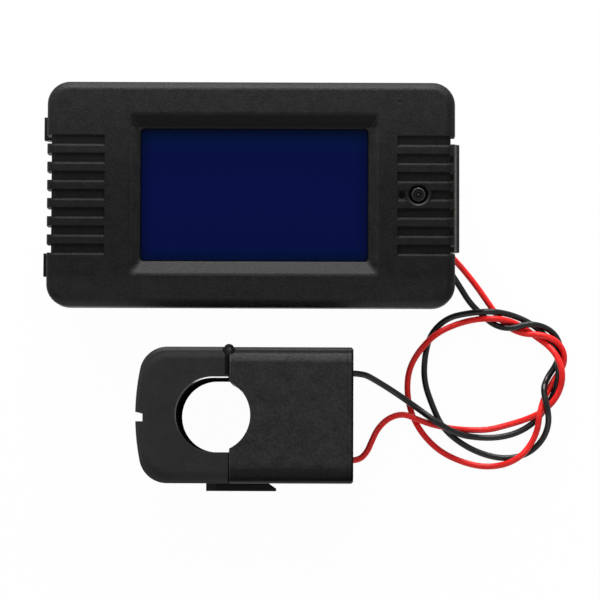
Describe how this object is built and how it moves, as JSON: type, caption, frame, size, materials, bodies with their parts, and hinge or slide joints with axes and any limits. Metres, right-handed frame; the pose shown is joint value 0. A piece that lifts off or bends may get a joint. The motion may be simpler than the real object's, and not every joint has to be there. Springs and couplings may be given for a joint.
{
  "type": "ac power meter",
  "caption": "Panel AC power meter: display module with LCD window and push-button, two leads and a hinged split-core current sensor with latch.",
  "frame": {"origin": "centre of the display module's rear face", "axes": "+X along the module towards the button and the terminals, +Y across it away from the sensor, +Z out of the display"},
  "size_m": [0.1174, 0.0897, 0.033],
  "materials": {
    "housing": "fine matt grain, black",
    "clip": "smooth, black",
    "display_glass": "dark blue display, unlit",
    "display_film": "semi-gloss dark blue film",
    "light_guide": "milky white",
    "board": "green solder resist",
    "component_black": "moulded, black",
    "component_blue": "dipped coating, blue",
    "component_yellow": "moulded box, yellow",
    "capacitor_sleeve": "shrunk sleeve, black",
    "transformer": "taped winding on a dark core",
    "terminal_green": "moulded, green",
    "tinned": "tin plated",
    "zinc_steel": "zinc plated",
    "copper": "bare copper",
    "enamelled_copper": "enamelled wire",
    "lead_red": "smooth insulation, red",
    "lead_black": "smooth insulation, black",
    "ferrite": "ground sintered",
    "bobbin": "moulded, natural"
  },
  "bodies": {
    "meter": {"front_cover": "housing", "rear_case": "housing", "lcd_glass": "display_glass", "lcd_polariser": "display_film", "lcd_backlight": "light_guide", "lcd_pins": "tinned", "main_board": "board", "board_screws": "zinc_steel", "tact_switch": "component_black", "transformer": "transformer", "electrolytic_capacitors": "capacitor_sleeve", "film_capacitor": "component_yellow", "varistor": "component_blue", "metering_chip": "component_black", "controller_chip": "component_black", "power_chip": "component_black", "terminal_block": "terminal_green", "terminal_contacts": "tinned", "lead_wire_ends": "copper", "lead_red": "lead_red", "lead_black": "lead_black", "sensor_shell": "housing", "sensor_end_cover": "housing", "hinge_pins": "zinc_steel", "core_fixed": "ferrite", "bobbin": "bobbin", "winding": "enamelled_copper", "lead_board": "board"},
    "jaw": {"jaw_shell": "housing", "core_jaw": "ferrite", "core_spring": "zinc_steel"},
    "latch": {"latch_arm": "housing"},
    "button": {"button_cap": "housing", "switch_plunger": "component_black"},
    "clip": {"panel_clip": "clip"},
    "screw_1": {"terminal_screw_1": "zinc_steel"},
    "screw_2": {"terminal_screw_2": "zinc_steel"},
    "screw_3": {"terminal_screw_3": "zinc_steel"},
    "screw_4": {"terminal_screw_4": "zinc_steel"},
    "clamp_1": {"terminal_clamp_1": "tinned"},
    "clamp_2": {"terminal_clamp_2": "tinned"},
    "clamp_3": {"terminal_clamp_3": "tinned"},
    "clamp_4": {"terminal_clamp_4": "tinned"}
  },
  "joints": [
    {"name": "jaw_swing", "type": "hinge", "parent": "meter", "child": "jaw", "pos_m": [-0.0044, -0.03435, 0], "axis": [0, 0, -1], "range_deg": [0, 35], "deforming": ["latch_arm"]},
    {"name": "latch_flex", "type": "hinge", "parent": "jaw", "child": "latch", "pos_m": [-0.0066, -0.06413, 0], "axis": [0, 0, -1], "range_deg": [0, 8], "stiffness_Nm_per_rad": 0.5, "springref_deg": -1.15},
    {"name": "button_press", "type": "slide", "parent": "meter", "child": "button", "axis": [0, 0, -1], "range_m": [0, 0.0003], "stiffness_N_per_m": 1500, "springref_m": -0.0004},
    {"name": "clip_flex", "type": "hinge", "parent": "meter", "child": "clip", "pos_m": [0.04355, 0, 0.0022], "axis": [0, -1, 0], "range_deg": [0, 11], "stiffness_Nm_per_rad": 1, "springref_deg": -1.15},
    {"name": "terminal_screw_1_turn", "type": "hinge", "parent": "meter", "child": "screw_1", "pos_m": [0.0246, -0.01143, 0.0017], "axis": [0, 0, -1], "range_deg": [0, 1080]},
    {"name": "terminal_screw_2_turn", "type": "hinge", "parent": "meter", "child": "screw_2", "pos_m": [0.0246, -0.00381, 0.0017], "axis": [0, 0, -1], "range_deg": [0, 1080]},
    {"name": "terminal_screw_3_turn", "type": "hinge", "parent": "meter", "child": "screw_3", "pos_m": [0.0246, 0.00381, 0.0017], "axis": [0, 0, -1], "range_deg": [0, 1080]},
    {"name": "terminal_screw_4_turn", "type": "hinge", "parent": "meter", "child": "screw_4", "pos_m": [0.0246, 0.01143, 0.0017], "axis": [0, 0, -1], "range_deg": [0, 1080]},
    {"name": "terminal_clamp_1_slide", "type": "slide", "parent": "meter", "child": "clamp_1", "axis": [0, 0, 1], "range_m": [0, 0.00135]},
    {"name": "terminal_clamp_2_slide", "type": "slide", "parent": "meter", "child": "clamp_2", "axis": [0, 0, 1], "range_m": [0, 0.00135]},
    {"name": "terminal_clamp_3_slide", "type": "slide", "parent": "meter", "child": "clamp_3", "axis": [0, 0, 1], "range_m": [0, 0.00135]},
    {"name": "terminal_clamp_4_slide", "type": "slide", "parent": "meter", "child": "clamp_4", "axis": [0, 0, 1], "range_m": [0, 0.00135]}
  ],
  "couplings": [
    {"joint": "terminal_screw_1_turn", "follows": "terminal_clamp_1_slide", "rad_per_m": 13963},
    {"joint": "terminal_screw_2_turn", "follows": "terminal_clamp_2_slide", "rad_per_m": 13963},
    {"joint": "terminal_screw_3_turn", "follows": "terminal_clamp_3_slide", "rad_per_m": 13963},
    {"joint": "terminal_screw_4_turn", "follows": "terminal_clamp_4_slide", "rad_per_m": 13963}
  ]
}
